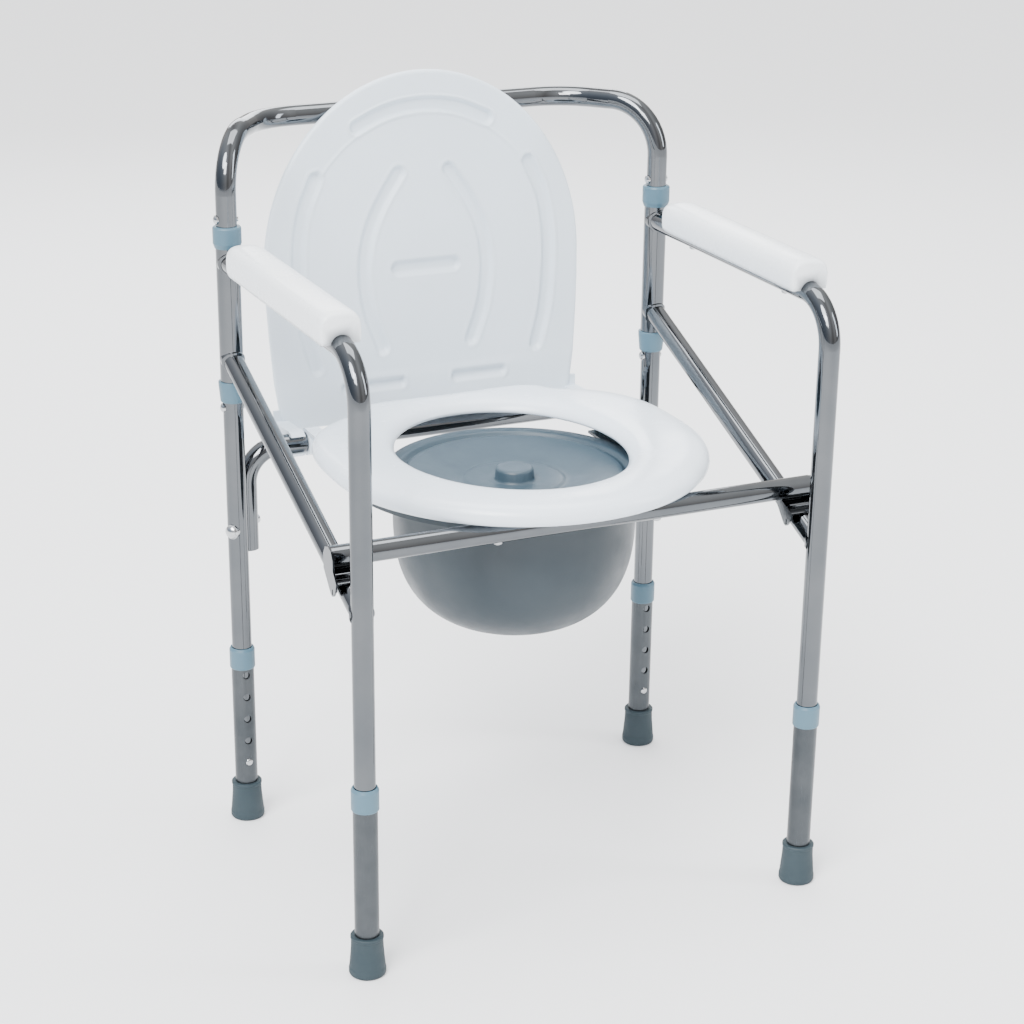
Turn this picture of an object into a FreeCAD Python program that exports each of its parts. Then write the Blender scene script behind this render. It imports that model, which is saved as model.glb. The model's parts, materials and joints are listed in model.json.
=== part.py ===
import FreeCAD, Part
import math
import os

Vector = FreeCAD.Vector
os.makedirs("parts", exist_ok=True)

# Commode chair. Millimetres, X across the chair, front towards -Y, Z up from the floor.
# The shapes are drawn about the middle of the leg square and moved back by middle_y when
# they are saved, so that the origin is the middle of the whole chair's footprint.
middle_y = 45.1

# Round steel tube: upper frame in 22.2 mm, sleeves and extension legs in 25.4 mm.
tube_r = 11.1
tube_bore_r = 9.9
sleeve_r = 12.7
sleeve_bore_r = 11.5
running_r = 11.2

# Leg square and heights of the main tubes.
leg_x = 252.5
leg_y = 191.0
inner_leg_end_z = 50.0
arm_z = 651.0
arm_bend_r = 48.0
back_corner_z = 780.9
back_corner_r = 57.0
back_bar_x = 180.0
back_bar_y = 289.3
back_bar_z = 779.1
back_bar_r = 75.0
brace_rear_z = 547.7
brace_slope = 0.40

# Turning sleeves of the two side frames.
sleeve_low_z = 512.0
sleeve_high_z = 677.0
bush_overlap = 10.0
bush_reach = 13.0
upper_bush_r = 15.25
lower_bush_r = 15.0
upper_rivet_z = 697.0
lower_rivet_z = 492.5

# Crossbar that carries the seat and the lid.
bar_y = 205.3
bar_z = 437.0
bar_leg_x = 235.5
bar_leg_end_z = 322.0
bar_bend_r = 38.0
bolt_z = 352.0

# Front bar and the saddles that rest on the braces.
front_bar_y = -143.0
front_bar_z = 440.5
front_bar_half = 267.0
saddle_gap = 0.3
saddle_sheet = 2.0
saddle_inner = 14.6
seat_screw_x = 89.0

# Seat.
seat_under_z = 452.0
seat_top_z = 478.0
seat_half = 205.0
seat_front_y = -196.0
seat_rear_y = 183.0
seat_middle_y = 12.0
opening_half = 118.0
opening_front_y = -130.0
opening_rear_y = 155.0
seat_wall = 4.5
rib_count = 16

# Lid, drawn closed and then turned open about the crossbar.
lid_open_deg = 93.2
lid_under = 41.5
lid_top = 53.5
lid_hinge_under = 49.5
lid_rear = 2.0
lid_step = 52.0
lid_front = 387.5
lid_arc_reach = 178.0
lid_half = 188.6

# Pail and pail lid.
pail_y = 13.0
pail_rim_r = 143.0
pail_rim_z = 441.0
pail_ledge_z = 437.0
pail_neck_r = 131.0
pail_wall = 2.6
bowl_r = 130.0
bowl_depth = 130.5
bowl_top_z = 403.5
bowl_power = 2.75
bowl_steps = 14
pail_lid_r = 139.5

# Carriers of the pail, one under each side of the seat.
rail_skirt_r = 178.0
rail_skirt_y = 25.0
rail_web_r = 150.0
rail_ledge_r = 139.0
rail_front_y = -118.0
rail_rear_y = 120.0
rail_skirt_low_z = 436.5
rail_sheet = 3.0
rail_screw_x = 156.0
rail_screw_ys = (-40, 90)

# Extension legs.
tip_h = 45.0
ext_low_z = 6.0
ext_high_z = 200.0
hole_first_z = 72.0
hole_pitch = 27.0
hole_count = 5
hole_r = 4.3
button_r = 4.0
collar_low_z = 187.0
collar_high_z = 212.0
collar_r = 14.25


def save(name, shape):
    placed = shape.copy()
    placed.translate(Vector(0, -middle_y, 0))
    placed.exportStep("parts/" + name + ".step")


def fuse(shapes):
    whole = shapes[0]
    for shape in shapes[1:]:
        whole = whole.fuse(shape)
    return whole.removeSplitter()


def rod(radius, start, end):
    along = end.sub(start)
    return Part.makeCylinder(radius, along.Length, start, along)


def block(x0, x1, y0, y1, z0, z1):
    return Part.makeBox(x1 - x0, y1 - y0, z1 - z0, Vector(x0, y0, z0))


def ring(outer, inner, z0, z1, x, y):
    outside = Part.makeCylinder(outer, z1 - z0, Vector(x, y, z0))
    inside = Part.makeCylinder(inner, z1 - z0 + 2, Vector(x, y, z0 - 1))
    return outside.cut(inside)


def turned(outline, x, y):
    points = [Vector(r, 0, z) for r, z in outline]
    points.append(points[0])
    face = Part.Face(Part.makePolygon(points))
    solid = face.revolve(Vector(0, 0, 0), Vector(0, 0, 1), 360)
    solid.translate(Vector(x, y, 0))
    return solid


def mirrored(shape):
    return shape.mirror(Vector(0, 0, 0), Vector(1, 0, 0))


def bent_rod(points, bends, radius):
    """Round bar along straight runs joined by true circular bends."""
    pieces = []
    start = points[0]
    for i in range(1, len(points) - 1):
        corner = points[i]
        back = points[i - 1].sub(corner)
        back.normalize()
        on = points[i + 1].sub(corner)
        on.normalize()
        half = back.getAngle(on) / 2
        bend = bends[i - 1]
        tangent = bend / math.tan(half)
        arc_start = corner.add(Vector(back).multiply(tangent))
        middle = back.add(on)
        middle.normalize()
        centre = corner.add(middle.multiply(bend / math.sin(half)))
        axis = back.cross(on)
        axis.normalize()
        pieces.append(rod(radius, start, arc_start))
        disc = Part.Face(Part.Wire(Part.makeCircle(radius, arc_start, back)))
        turn = math.degrees(math.pi - 2 * half)
        pieces.append(disc.revolve(centre, Vector(axis).multiply(-1), turn))
        start = corner.add(Vector(on).multiply(tangent))
    pieces.append(rod(radius, start, points[-1]))
    return fuse(pieces)


def bent_tube(points, bends):
    first = points[0].sub(points[1])
    first.normalize()
    last = points[-1].sub(points[-2])
    last.normalize()
    longer = list(points)
    longer[0] = points[0].add(first)
    longer[-1] = points[-1].add(last)
    return bent_rod(points, bends, tube_r).cut(bent_rod(longer, bends, tube_bore_r))


# Rear frame: one bent tube makes both rear legs and the swept-back top loop.
def button_hole(x, y, facing):
    return rod(4.2, Vector(x, y, hole_first_z), Vector(x, y + 20 * facing, hole_first_z))


def bolt_direction(side):
    across = Vector(side * (bar_leg_x - leg_x), bar_y - leg_y, 0)
    across.normalize()
    return across


def bolt_hole(side):
    along = bolt_direction(side)
    start = Vector(side * leg_x, leg_y, bolt_z).sub(Vector(along).multiply(20))
    return rod(3.1, start, start.add(Vector(along).multiply(62)))


def rear_frame():
    points = [
        Vector(-leg_x, leg_y, inner_leg_end_z),
        Vector(-leg_x, leg_y, back_corner_z),
        Vector(-back_bar_x, back_bar_y, back_bar_z),
        Vector(back_bar_x, back_bar_y, back_bar_z),
        Vector(leg_x, leg_y, back_corner_z),
        Vector(leg_x, leg_y, inner_leg_end_z),
    ]
    frame = bent_tube(points, [back_corner_r, back_bar_r, back_bar_r, back_corner_r])
    for side in (-1, 1):
        frame = frame.cut(button_hole(side * leg_x, leg_y, -1))
        frame = frame.cut(bolt_hole(side))
        for z in (lower_rivet_z, upper_rivet_z):
            rivet_hole = rod(2.5, Vector(side * leg_x - 20, leg_y, z), Vector(side * leg_x + 20, leg_y, z))
            frame = frame.cut(rivet_hole)
    return frame


def dome(base, along, radius, height):
    """Round head whose flat side is at base and whose crown points along."""
    sphere_r = (radius * radius + height * height) / (2 * height)
    flat = Vector(along)
    flat.normalize()
    centre = base.add(Vector(flat).multiply(height - sphere_r))
    ball = Part.makeSphere(sphere_r, centre)
    return ball.common(Part.makeCylinder(radius + 1, height + 1, base, flat))


def rivet(x, z):
    shank = rod(2.5, Vector(x - 11.6, leg_y, z), Vector(x + 11.6, leg_y, z))
    head = rod(5, Vector(x - 12.1, leg_y, z), Vector(x - 10, leg_y, z))
    crown = dome(Vector(x - 12.1, leg_y, z), Vector(-1, 0, 0), 5, 2.5)
    tail = rod(3.6, Vector(x + 9, leg_y, z), Vector(x + 12.0, leg_y, z))
    post = Part.makeCylinder(tube_r, 30, Vector(x, leg_y, z - 15))
    heads = fuse([head, crown, tail]).cut(post)
    return fuse([shank, heads])


def stop_rivets():
    rivets = []
    for side in (-1, 1):
        for z in (lower_rivet_z, upper_rivet_z):
            rivets.append(rivet(side * leg_x, z))
    return Part.makeCompound(rivets)


def seat_crossbar():
    points = [
        Vector(-bar_leg_x, bar_y, bar_leg_end_z),
        Vector(-bar_leg_x, bar_y, bar_z),
        Vector(bar_leg_x, bar_y, bar_z),
        Vector(bar_leg_x, bar_y, bar_leg_end_z),
    ]
    bar = bent_tube(points, [bar_bend_r, bar_bend_r])
    for side in (-1, 1):
        bar = bar.cut(bolt_hole(side))
    return bar


def crossbar_bolt(side):
    along = bolt_direction(side)
    leg = Vector(side * leg_x, leg_y, bolt_z)
    out = Vector(along).multiply(-1)
    shank = rod(3.0, leg.add(Vector(out).multiply(11.5)), leg.add(Vector(along).multiply(39.5)))
    washer = rod(8.0, leg.add(Vector(out).multiply(8)), leg.add(Vector(out).multiply(12.4)))
    crown = dome(leg.add(Vector(out).multiply(12.4)), out, 7.5, 4.2)
    post = Part.makeCylinder(tube_r, 40, Vector(leg.x, leg.y, bolt_z - 20))
    return fuse([shank, fuse([washer, crown]).cut(post)])


def crossbar_nut(side):
    along = bolt_direction(side)
    leg = Vector(side * bar_leg_x, bar_y, bolt_z)
    body = rod(6.5, leg.add(Vector(along).multiply(8)), leg.add(Vector(along).multiply(15.5)))
    crown = dome(leg.add(Vector(along).multiply(15.5)), along, 6.0, 4.5)
    post = Part.makeCylinder(tube_r, 40, Vector(leg.x, leg.y, bolt_z - 20))
    thread = rod(3.0, leg, leg.add(Vector(along).multiply(17.4)))
    return fuse([body, crown]).cut(post).cut(thread)


# Side frames, drawn on the left and mirrored.
def side_sleeve():
    return ring(sleeve_r, sleeve_bore_r, sleeve_low_z, sleeve_high_z, -leg_x, leg_y)


def upper_bush():
    low = sleeve_high_z - bush_overlap
    high = sleeve_high_z + bush_reach
    outline = [
        (sleeve_r, low),
        (sleeve_r + 0.8, low),
        (upper_bush_r, low + 5),
        (upper_bush_r, high - 2),
        (upper_bush_r - 1, high - 0.6),
        (upper_bush_r - 2.2, high),
        (running_r, high),
        (running_r, sleeve_high_z),
        (sleeve_r, sleeve_high_z),
    ]
    return turned(outline, -leg_x, leg_y)


def lower_bush():
    low = sleeve_low_z - bush_reach
    high = sleeve_low_z + bush_overlap
    outline = [
        (running_r, low),
        (sleeve_r, low),
        (sleeve_r + 0.7, low + 1),
        (lower_bush_r, high - 4),
        (lower_bush_r, high - 0.8),
        (lower_bush_r - 0.8, high),
        (sleeve_r, high),
        (sleeve_r, sleeve_low_z),
        (running_r, sleeve_low_z),
    ]
    return turned(outline, -leg_x, leg_y)


def sleeve_solid():
    return Part.makeCylinder(sleeve_r, 400, Vector(-leg_x, leg_y, 380))


def leg_solid():
    return Part.makeCylinder(tube_r, 500, Vector(-leg_x, -leg_y, 100))


def weld_bead(first, second, first_fat, second_fat):
    """Ring of weld where one tube butts against the other."""
    return first_fat.common(second_fat).cut(first).cut(second)


def arm_tube():
    points = [
        Vector(-leg_x, leg_y, arm_z),
        Vector(-leg_x, -leg_y, arm_z),
        Vector(-leg_x, -leg_y, inner_leg_end_z),
    ]
    outside = bent_rod(points, [arm_bend_r], tube_r)
    tube = bent_tube(points, [arm_bend_r]).cut(sleeve_solid())
    tube = tube.cut(button_hole(-leg_x, -leg_y, 1))
    for y in (-100, 100):
        tube = tube.cut(rod(2.2, Vector(-leg_x, y, arm_z - 20), Vector(-leg_x, y, arm_z + 20)))
    fat_arm = rod(tube_r + 2, Vector(-leg_x, leg_y, arm_z), Vector(-leg_x, leg_y - 40, arm_z))
    fat_sleeve = Part.makeCylinder(sleeve_r + 2, 80, Vector(-leg_x, leg_y, arm_z - 40))
    bead = weld_bead(outside, sleeve_solid(), fat_arm, fat_sleeve)
    front = block(-leg_x - 30, -leg_x + 30, -leg_y, leg_y, arm_z - 40, arm_z + 40)
    return fuse([tube, bead.common(front)])


def brace_line(y):
    return Vector(-leg_x, y, brace_rear_z - brace_slope * (leg_y - y))


def brace():
    rear = brace_line(leg_y)
    front = brace_line(-leg_y)
    outside = rod(tube_r, rear, front)
    tube = outside.cut(rod(tube_bore_r, brace_line(leg_y + 10), brace_line(-leg_y - 10)))
    fat = rod(tube_r + 2, rear, front)
    fat_sleeve = Part.makeCylinder(sleeve_r + 2, 100, Vector(-leg_x, leg_y, rear.z - 50))
    fat_leg = Part.makeCylinder(tube_r + 2, 100, Vector(-leg_x, -leg_y, front.z - 50))
    between = block(-leg_x - 30, -leg_x + 30, -leg_y, leg_y, 300, 640)
    rear_bead = weld_bead(outside, sleeve_solid(), fat, fat_sleeve).common(between)
    front_bead = weld_bead(outside, leg_solid(), fat, fat_leg).common(between)
    tube = tube.cut(sleeve_solid()).cut(leg_solid())
    return fuse([tube, rear_bead, front_bead])


def pad_solid(inset):
    """Crowned armrest, flat below and rounded at its rear end."""
    half = 21.5 - inset
    front = -148.0 + inset
    rear = 148.0 - inset
    low = 653.0
    side = 667.0
    turn = Vector(half - 9, 0, 681.6 - inset)
    left_turn = Vector(-turn.x, front, turn.z)
    right_turn = Vector(turn.x, front, turn.z)
    left_side = Vector(-half, front, side)
    right_side = Vector(half, front, side)
    edges = [
        Part.makeLine(Vector(-half, front, low), left_side),
        Part.Arc(left_side, Vector(2.9 - half, front, 677.2 - inset), left_turn).toShape(),
        Part.Arc(left_turn, Vector(0, front, 684 - inset), right_turn).toShape(),
        Part.Arc(right_turn, Vector(half - 2.9, front, 677.2 - inset), right_side).toShape(),
        Part.makeLine(right_side, Vector(half, front, low)),
        Part.makeLine(Vector(half, front, low), Vector(-half, front, low)),
    ]
    body = Part.Face(Part.Wire(edges)).extrude(Vector(0, rear - front, 0))
    corners = [
        (half, front, 4),
        (half, rear, half * 0.98),
        (-half, rear, half * 0.98),
        (-half, front, 4),
    ]
    body = body.common(rounded_face(corners, low - 5).extrude(Vector(0, 0, 60)))
    body.translate(Vector(-leg_x, 0, 0))
    return body


def armrest_pad():
    hollow = pad_solid(3.0)
    shell = pad_solid(0).cut(hollow)
    ribs = []
    for y in (-145, -100, -50, 0, 50, 100):
        rib = block(-leg_x - 30, -leg_x + 30, y, y + 4, 640, 700)
        ribs.append(hollow.common(rib))
    for y in (-100, 100):
        post = Part.makeCylinder(5, 30, Vector(-leg_x, y, 653))
        ribs.append(hollow.common(post))
    shell = fuse([shell] + ribs)
    shell = shell.cut(rod(tube_r, Vector(-leg_x, -160, arm_z), Vector(-leg_x, 160, arm_z)))
    for y in (-100, 100):
        shell = shell.cut(rod(2.0, Vector(-leg_x, y, 640), Vector(-leg_x, y, 676)))
    return shell


def pad_screws():
    screws = []
    for y in (-100, 100):
        under = Vector(-leg_x, y, arm_z - tube_r)
        shank = rod(2.0, Vector(-leg_x, y, arm_z - tube_r - 0.5), Vector(-leg_x, y, 675))
        head = rod(4.2, Vector(under.x, y, under.z - 0.8), Vector(under.x, y, under.z + 3))
        crown = dome(Vector(under.x, y, under.z - 0.8), Vector(0, 0, -1), 4.2, 1.8)
        tube = rod(tube_r, Vector(-leg_x, y - 20, arm_z), Vector(-leg_x, y + 20, arm_z))
        screws.append(fuse([shank, fuse([head, crown]).cut(tube)]))
    return Part.makeCompound(screws)


# Seat group.
def front_bar():
    left = Vector(-front_bar_half, front_bar_y, front_bar_z)
    right = Vector(front_bar_half, front_bar_y, front_bar_z)
    tube = rod(tube_r, left, right)
    tube = tube.cut(rod(tube_bore_r, left.sub(Vector(1, 0, 0)), right.add(Vector(1, 0, 0))))
    for side in (-1, 1):
        hole = rod(2.3, Vector(side * seat_screw_x, front_bar_y, 420), Vector(side * seat_screw_x, front_bar_y, 460))
        tube = tube.cut(hole)
        cap = rod(tube_r, Vector(side * (front_bar_half - 1.5), front_bar_y, front_bar_z),
                  Vector(side * front_bar_half, front_bar_y, front_bar_z))
        tube = tube.fuse(cap)
    return tube.removeSplitter()


def channel_point(x, s, n):
    """Point beside the left brace: s runs down it towards the front, n stands off it."""
    tilt = math.atan(brace_slope)
    base = brace_line(front_bar_y)
    y = base.y - s * math.cos(tilt) - n * math.sin(tilt)
    z = base.z - s * math.sin(tilt) + n * math.cos(tilt)
    return Vector(x, y, z)


def channel_plate(outline, x0, x1):
    points = [channel_point(x0, s, n) for s, n in outline]
    points.append(points[0])
    return Part.Face(Part.makePolygon(points)).extrude(Vector(x1 - x0, 0, 0))


def saddle():
    """Channel that hooks over the brace; its outer cheek also closes the end of the bar."""
    top = tube_r + saddle_gap + saddle_sheet
    low = tube_r + saddle_gap
    outer = saddle_inner + saddle_sheet
    web = channel_plate([(18, top), (18, low), (-16, low), (-16, top)], -leg_x - outer, -leg_x + outer)
    cheek = [(18, top), (19, 4), (16, -4), (13, -6.5), (9, -6), (-16, 6), (-16, top)]
    tall_cheek = cheek[:-1] + [(-22, 20), (-20, 30), (-13, 35.5), (-5, 35.5), (2, 30), (6, 20)]
    left = channel_plate(tall_cheek, -leg_x - outer, -leg_x - saddle_inner)
    right = channel_plate(cheek, -leg_x + saddle_inner, -leg_x + outer)
    beads = []
    for s in (-7.0, 7.0):
        centre = channel_point(-leg_x, s, top + 1.2)
        bead = rod(2.4, Vector(-leg_x - 14, centre.y, centre.z), Vector(-leg_x + 14, centre.y, centre.z))
        beads.append(bead)
    bar = rod(tube_r, Vector(-front_bar_half, front_bar_y, front_bar_z), Vector(-200, front_bar_y, front_bar_z))
    whole = fuse([web, left, right] + beads).cut(bar)
    slot_at = channel_point(-leg_x, 13, -1)
    slot = block(-leg_x - 30, -leg_x + 30, slot_at.y - 1.2, slot_at.y + 1.2, slot_at.z - 3, slot_at.z + 3)
    return whole.cut(slot)


def rounded_face(corners, z):
    """Flat face whose corners, given as x, y and radius, are rounded by true arcs."""
    count = len(corners)
    starts = []
    ends = []
    edges = []
    for i in range(count):
        x, y, radius = corners[i]
        corner = Vector(x, y, z)
        back = Vector(corners[i - 1][0], corners[i - 1][1], z).sub(corner)
        on = Vector(corners[(i + 1) % count][0], corners[(i + 1) % count][1], z).sub(corner)
        back.normalize()
        on.normalize()
        half = back.getAngle(on) / 2
        tangent = radius / math.tan(half)
        start = corner.add(Vector(back).multiply(tangent))
        end = corner.add(Vector(on).multiply(tangent))
        middle = back.add(on)
        middle.normalize()
        crown = corner.add(middle.multiply(radius / math.sin(half) - radius))
        edges.append(Part.Arc(start, crown, end).toShape())
        starts.append(start)
        ends.append(end)
    for i in range(count):
        following = starts[(i + 1) % count]
        if ends[i].sub(following).Length > 0.01:
            edges.append(Part.makeLine(ends[i], following))
    return Part.Face(Part.Wire(Part.__sortEdges__(edges)))


def seat_outline(inset, low, high):
    half = seat_half - inset
    front = seat_front_y + inset
    rear = seat_rear_y - inset
    corners = [
        (half, front, half),
        (half, 75, 150),
        (178 - inset, rear, 20 - inset),
        (inset - 178, rear, 20 - inset),
        (-half, 75, 150),
        (-half, front, half),
    ]
    return rounded_face(corners, low).extrude(Vector(0, 0, high - low))


def opening_oval(grow, low, high):
    centre = (opening_front_y + opening_rear_y) / 2
    reach = (opening_rear_y - opening_front_y) / 2 + grow
    half = opening_half + grow
    ellipse = Part.Ellipse(Vector(0, centre + reach, low), Vector(half, centre, low), Vector(0, centre, low))
    face = Part.Face(Part.Wire(ellipse.toShape()))
    return face.extrude(Vector(0, 0, high - low))


def rear_block(inset, low, high):
    half = 125.0 - inset
    solid = block(-half, half, 155 + inset, 203 - inset, low, high)
    corners = [e for e in solid.Edges if e.BoundBox.ZLength > 5]
    return solid.makeFillet(14, corners)


def seat_ring():
    body = seat_outline(0, seat_under_z, seat_top_z)
    rim = [e for e in body.Edges if e.BoundBox.ZMin > seat_top_z - 1]
    body = body.makeFillet(12, rim)
    shelf = rear_block(0, seat_under_z, seat_top_z)
    rim = [e for e in shelf.Edges if e.BoundBox.ZMin > seat_top_z - 1]
    shelf = shelf.makeFillet(5, rim)
    body = fuse([body, shelf])
    body = body.cut(opening_oval(0, 440, 500))
    hollow = seat_outline(seat_wall + 5, 440, seat_top_z - seat_wall - 3)
    hollow = fuse([hollow, rear_block(seat_wall, 440, seat_top_z - seat_wall)])
    hollow = hollow.cut(opening_oval(seat_wall, 430, 500))
    body = body.cut(hollow)
    ribs = []
    for i in range(rib_count):
        angle = 2 * math.pi * (i + 0.5) / rib_count
        rib = block(0, 260, -1.5, 1.5, seat_under_z, seat_top_z - 2)
        rib.rotate(Vector(0, 0, 0), Vector(0, 0, 1), math.degrees(angle))
        rib.translate(Vector(0, seat_middle_y, 0))
        ribs.append(rib.common(hollow))
    body = fuse([body] + ribs)
    fixings = []
    for side in (-1, 1):
        fixings.append(block(side * seat_screw_x - 14, side * seat_screw_x + 14, -160, -126, 446, 476))
        fixings.append(block(side * 158 - 14, side * 158 + 14, 128, 172, seat_under_z, 476))
        for y in rail_screw_ys:
            x = side * rail_screw_x
            fixings.append(block(x - 8, x + 8, y - 8, y + 8, seat_under_z, 476))
    body = fuse([body] + fixings)
    body = body.cut(opening_oval(0, 430, 500))
    bar = rod(tube_r, Vector(-300, front_bar_y, front_bar_z), Vector(300, front_bar_y, front_bar_z))
    body = body.cut(bar)
    for side in (-1, 1):
        body = body.cut(rod(2.0, Vector(side * seat_screw_x, front_bar_y, 440), Vector(side * seat_screw_x, front_bar_y, 471)))
        body = body.cut(rod(2.0, Vector(side * 158, 138, 440), Vector(side * 158, 138, 466)))
        body = body.cut(rod(2.0, Vector(side * 158, 160, 440), Vector(side * 158, 160, 466)))
        for y in rail_screw_ys:
            x = side * rail_screw_x
            body = body.cut(rod(1.8, Vector(x, y, 440), Vector(x, y, 464)))
    return body


def screw_up(x, y, head_z, end_z, shank_r):
    shank = rod(shank_r, Vector(x, y, head_z - 0.5), Vector(x, y, end_z))
    head = rod(2.1 * shank_r, Vector(x, y, head_z - 0.8), Vector(x, y, head_z))
    crown = dome(Vector(x, y, head_z - 0.8), Vector(0, 0, -1), 2.1 * shank_r, 1.8)
    return fuse([shank, head, crown])


def seat_screws():
    screws = []
    for side in (-1, 1):
        low = front_bar_z - tube_r
        shank = rod(2.0, Vector(side * seat_screw_x, front_bar_y, low - 0.5), Vector(side * seat_screw_x, front_bar_y, 470))
        head = rod(4.6, Vector(side * seat_screw_x, front_bar_y, low - 0.9), Vector(side * seat_screw_x, front_bar_y, low + 3))
        crown = dome(Vector(side * seat_screw_x, front_bar_y, low - 0.9), Vector(0, 0, -1), 4.6, 2.0)
        bar = rod(tube_r, Vector(-120, front_bar_y, front_bar_z), Vector(120, front_bar_y, front_bar_z))
        screws.append(fuse([shank, fuse([head, crown]).cut(bar)]))
    return Part.makeCompound(screws)


def seat_clamp():
    """Plate under the seat's rear corner with an eye round the crossbar."""
    plate = block(-166, -150, 130, bar_y, seat_under_z - 4, seat_under_z)
    eye = rod(15.2, Vector(-166, bar_y, bar_z), Vector(-150, bar_y, bar_z))
    web = block(-161, -155, 150, bar_y, bar_z - 8, seat_under_z - 2)
    body = fuse([plate, eye, web])
    body = body.cut(rod(running_r, Vector(-170, bar_y, bar_z), Vector(-146, bar_y, bar_z)))
    for y in (138, 160):
        body = body.cut(rod(2.1, Vector(-158, y, 420), Vector(-158, y, 460)))
    body = body.cut(rod(4.4, Vector(-158, 160, 420), Vector(-158, 160, seat_under_z - 4)))
    return body


def clamp_screws():
    screws = []
    for side in (-1, 1):
        for y in (138, 160):
            screws.append(screw_up(side * 158, y, seat_under_z - 4, 465, 2.0))
    return Part.makeCompound(screws)


def rail_curve(radius, low, high):
    """Round to the front of the pail's middle and straight behind it."""
    disc = Part.makeCylinder(radius, high - low, Vector(0, pail_y, low))
    run = block(-radius, radius, pail_y, rail_rear_y, low, high)
    return disc.fuse(run)


def pail_rail():
    """Curved carrier under the seat that holds one side of the pail's rim."""
    foot_z = seat_under_z - rail_sheet
    ledge_low = pail_ledge_z - rail_sheet
    skirt_at = Vector(0, rail_skirt_y, 0)
    skirt = ring(rail_skirt_r, rail_skirt_r - rail_sheet, rail_skirt_low_z, seat_under_z, skirt_at.x, skirt_at.y)
    inside = rail_curve(rail_web_r - rail_sheet, ledge_low - 1, seat_under_z + 1)
    foot = Part.makeCylinder(rail_skirt_r, rail_sheet, Vector(0, rail_skirt_y, foot_z)).cut(inside)
    web = rail_curve(rail_web_r, ledge_low, seat_under_z).cut(inside)
    ledge = rail_curve(rail_web_r, ledge_low, pail_ledge_z)
    ledge = ledge.cut(rail_curve(rail_ledge_r, ledge_low - 1, pail_ledge_z + 1))
    side = block(-rail_skirt_r - 1, -60, rail_front_y, rail_rear_y, ledge_low - 1, seat_under_z)
    body = fuse([foot, web, ledge, skirt]).common(side)
    for y in rail_screw_ys:
        body = body.cut(rod(1.9, Vector(-rail_screw_x, y, 430), Vector(-rail_screw_x, y, 460)))
    return body


def rail_screws():
    screws = []
    for side in (-1, 1):
        for y in rail_screw_ys:
            screws.append(screw_up(side * rail_screw_x, y, seat_under_z - rail_sheet, 463, 1.8))
    return Part.makeCompound(screws)


# Lid group, drawn closed.
def lid_outline(inset, low, high):
    points = []
    side = [(16, 177.5), (55, 183), (105, 186.4), (145, 188.2)]
    for reach, half in side:
        points.append(Vector(half - inset, bar_y - reach, low))
    count = 14
    for i in range(count + 1):
        angle = math.pi * i / count
        x = (lid_half - inset) * math.cos(angle)
        reach = lid_arc_reach + (lid_front - lid_arc_reach - inset) * math.sin(angle)
        points.append(Vector(x, bar_y - reach, low))
    for reach, half in reversed(side):
        points.append(Vector(inset - half, bar_y - reach, low))
    rear = lid_rear + inset
    points.append(Vector(inset - 168, bar_y - rear, low))
    curve = Part.BSplineCurve()
    curve.interpolate(points)
    right = Vector(168 - inset, bar_y - rear, low)
    edges = [
        curve.toShape(),
        Part.makeLine(points[-1], right),
        Part.makeLine(right, points[0]),
    ]
    return Part.Face(Part.Wire(edges)).extrude(Vector(0, 0, high - low))


def opened(shape):
    turned_back = shape.copy()
    turned_back.rotate(Vector(0, bar_y, bar_z), Vector(1, 0, 0), -lid_open_deg)
    return turned_back


def lid():
    under = bar_z + lid_under
    top = bar_z + lid_top
    body = lid_outline(0, under, top)
    upper = [e for e in body.Edges if e.BoundBox.ZMin > top - 1]
    try:
        body = body.makeFillet(3.5, upper)
    except Exception:
        body = lid_outline(0, under, top)
    step = block(-200, 200, bar_y - lid_step, bar_y, under - 1, bar_z + lid_hinge_under)
    body = body.cut(step)
    panel = lid_outline(14, under - 1, under + 1.2)
    panel = panel.cut(block(-200, 200, bar_y - lid_step - 10, bar_y + 20, under - 2, under + 4))
    body = body.cut(panel)
    slot = block(-34, 34, bar_y - 207, bar_y - 199, under - 1, under + 4)
    body = body.cut(slot)
    for side in (-1, 1):
        body = body.cut(block(side * 55 - 25, side * 55 + 25, bar_y - 36, bar_y - 30, under, bar_z + lid_top - 2))
        for reach in (22, 38):
            body = body.cut(rod(1.8, Vector(side * 164, bar_y - reach, under), Vector(side * 164, bar_y - reach, top - 1.2)))
    return opened(body)


def lid_arm():
    """Hook under the lid's rear corner that snaps over the crossbar."""
    hook = rod(15.0, Vector(-186, bar_y, bar_z), Vector(-170, bar_y, bar_z))
    stem = block(-186, -170, bar_y - 14, bar_y + 8, bar_z, bar_z + lid_hinge_under)
    foot = block(-174, -152, bar_y - 46, bar_y - 12, bar_z + lid_hinge_under - 4, bar_z + lid_hinge_under)
    toe = block(-186, -152, bar_y - 26, bar_y - 12, bar_z + lid_hinge_under - 4, bar_z + lid_hinge_under)
    body = fuse([hook, stem, foot, toe])
    body = body.cut(rod(running_r, Vector(-190, bar_y, bar_z), Vector(-166, bar_y, bar_z)))
    mouth = block(-190, -166, bar_y - 9.5, bar_y + 9.5, bar_z - 30, bar_z)
    body = body.cut(mouth)
    for reach in (22, 38):
        body = body.cut(rod(1.9, Vector(-164, bar_y - reach, bar_z + 20), Vector(-164, bar_y - reach, bar_z + 60)))
    return body


def lid_arm_screws():
    screws = []
    for side in (-1, 1):
        for reach in (22, 38):
            screws.append(screw_up(side * 164, bar_y - reach, bar_z + lid_hinge_under - 4, bar_z + lid_top - 1.5, 1.8))
    return Part.makeCompound([opened(s) for s in screws])


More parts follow.
